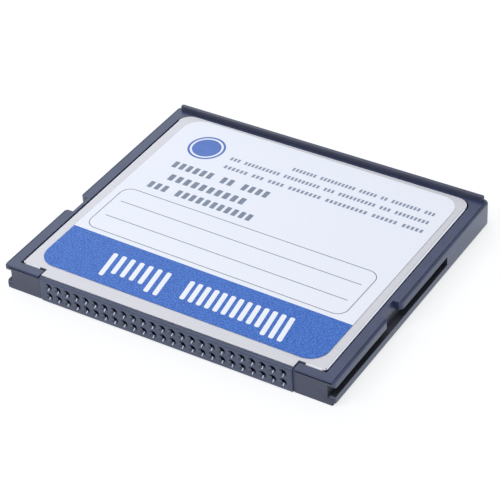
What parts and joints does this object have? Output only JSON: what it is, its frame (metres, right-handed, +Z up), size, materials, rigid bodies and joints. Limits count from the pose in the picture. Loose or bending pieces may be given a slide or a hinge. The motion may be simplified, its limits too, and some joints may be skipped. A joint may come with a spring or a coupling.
{
  "type": "flash memory card",
  "caption": "Flat memory card with a two-row socket header on its front edge, keyed guide grooves in both sides, steel covers in a dark plastic frame, and a white label with a blue banner.",
  "frame": {"origin": "centre of the footprint, at the outer face of the bottom cover", "axes": "+X across the card to the right as seen from the sockets' side with the label up, +Y from the sockets to the finger ridge, +Z up through the label"},
  "size_m": [0.0428, 0.0364, 0.0039],
  "materials": {
    "frame_plastic": "satin moulded",
    "header_plastic": "satin moulded",
    "contact_metal": "bright plated",
    "cover_steel": "fine satin",
    "label_paper": "semi-gloss printed",
    "board_laminate": "solder mask",
    "chip_resin": "moulded resin",
    "crystal_can": "plain can"
  },
  "bodies": {
    "root": {"frame": "frame_plastic", "connector_header": "header_plastic", "top_cover": "cover_steel", "bottom_cover": "cover_steel", "label": "label_paper", "circuit_board": "board_laminate", "controller_chip": "chip_resin", "flash_chip_upper": "chip_resin", "flash_chip_lower": "chip_resin", "crystal": "crystal_can", "contact_01": "contact_metal", "contact_02": "contact_metal", "contact_03": "contact_metal", "contact_04": "contact_metal", "contact_05": "contact_metal", "contact_06": "contact_metal", "contact_07": "contact_metal", "contact_08": "contact_metal", "contact_09": "contact_metal", "contact_10": "contact_metal", "contact_11": "contact_metal", "contact_12": "contact_metal", "contact_13": "contact_metal", "contact_14": "contact_metal", "contact_15": "contact_metal", "contact_16": "contact_metal", "contact_17": "contact_metal", "contact_18": "contact_metal", "contact_19": "contact_metal", "contact_20": "contact_metal", "contact_21": "contact_metal", "contact_22": "contact_metal", "contact_23": "contact_metal", "contact_24": "contact_metal", "contact_25": "contact_metal", "contact_26": "contact_metal", "contact_27": "contact_metal", "contact_28": "contact_metal", "contact_29": "contact_metal", "contact_30": "contact_metal", "contact_31": "contact_metal", "contact_32": "contact_metal", "contact_33": "contact_metal", "contact_34": "contact_metal", "contact_35": "contact_metal", "contact_36": "contact_metal", "contact_37": "contact_metal", "contact_38": "contact_metal", "contact_39": "contact_metal", "contact_40": "contact_metal", "contact_41": "contact_metal", "contact_42": "contact_metal", "contact_43": "contact_metal", "contact_44": "contact_metal", "contact_45": "contact_metal", "contact_46": "contact_metal", "contact_47": "contact_metal", "contact_48": "contact_metal", "contact_49": "contact_metal", "contact_50": "contact_metal"}
  },
  "joints": []
}
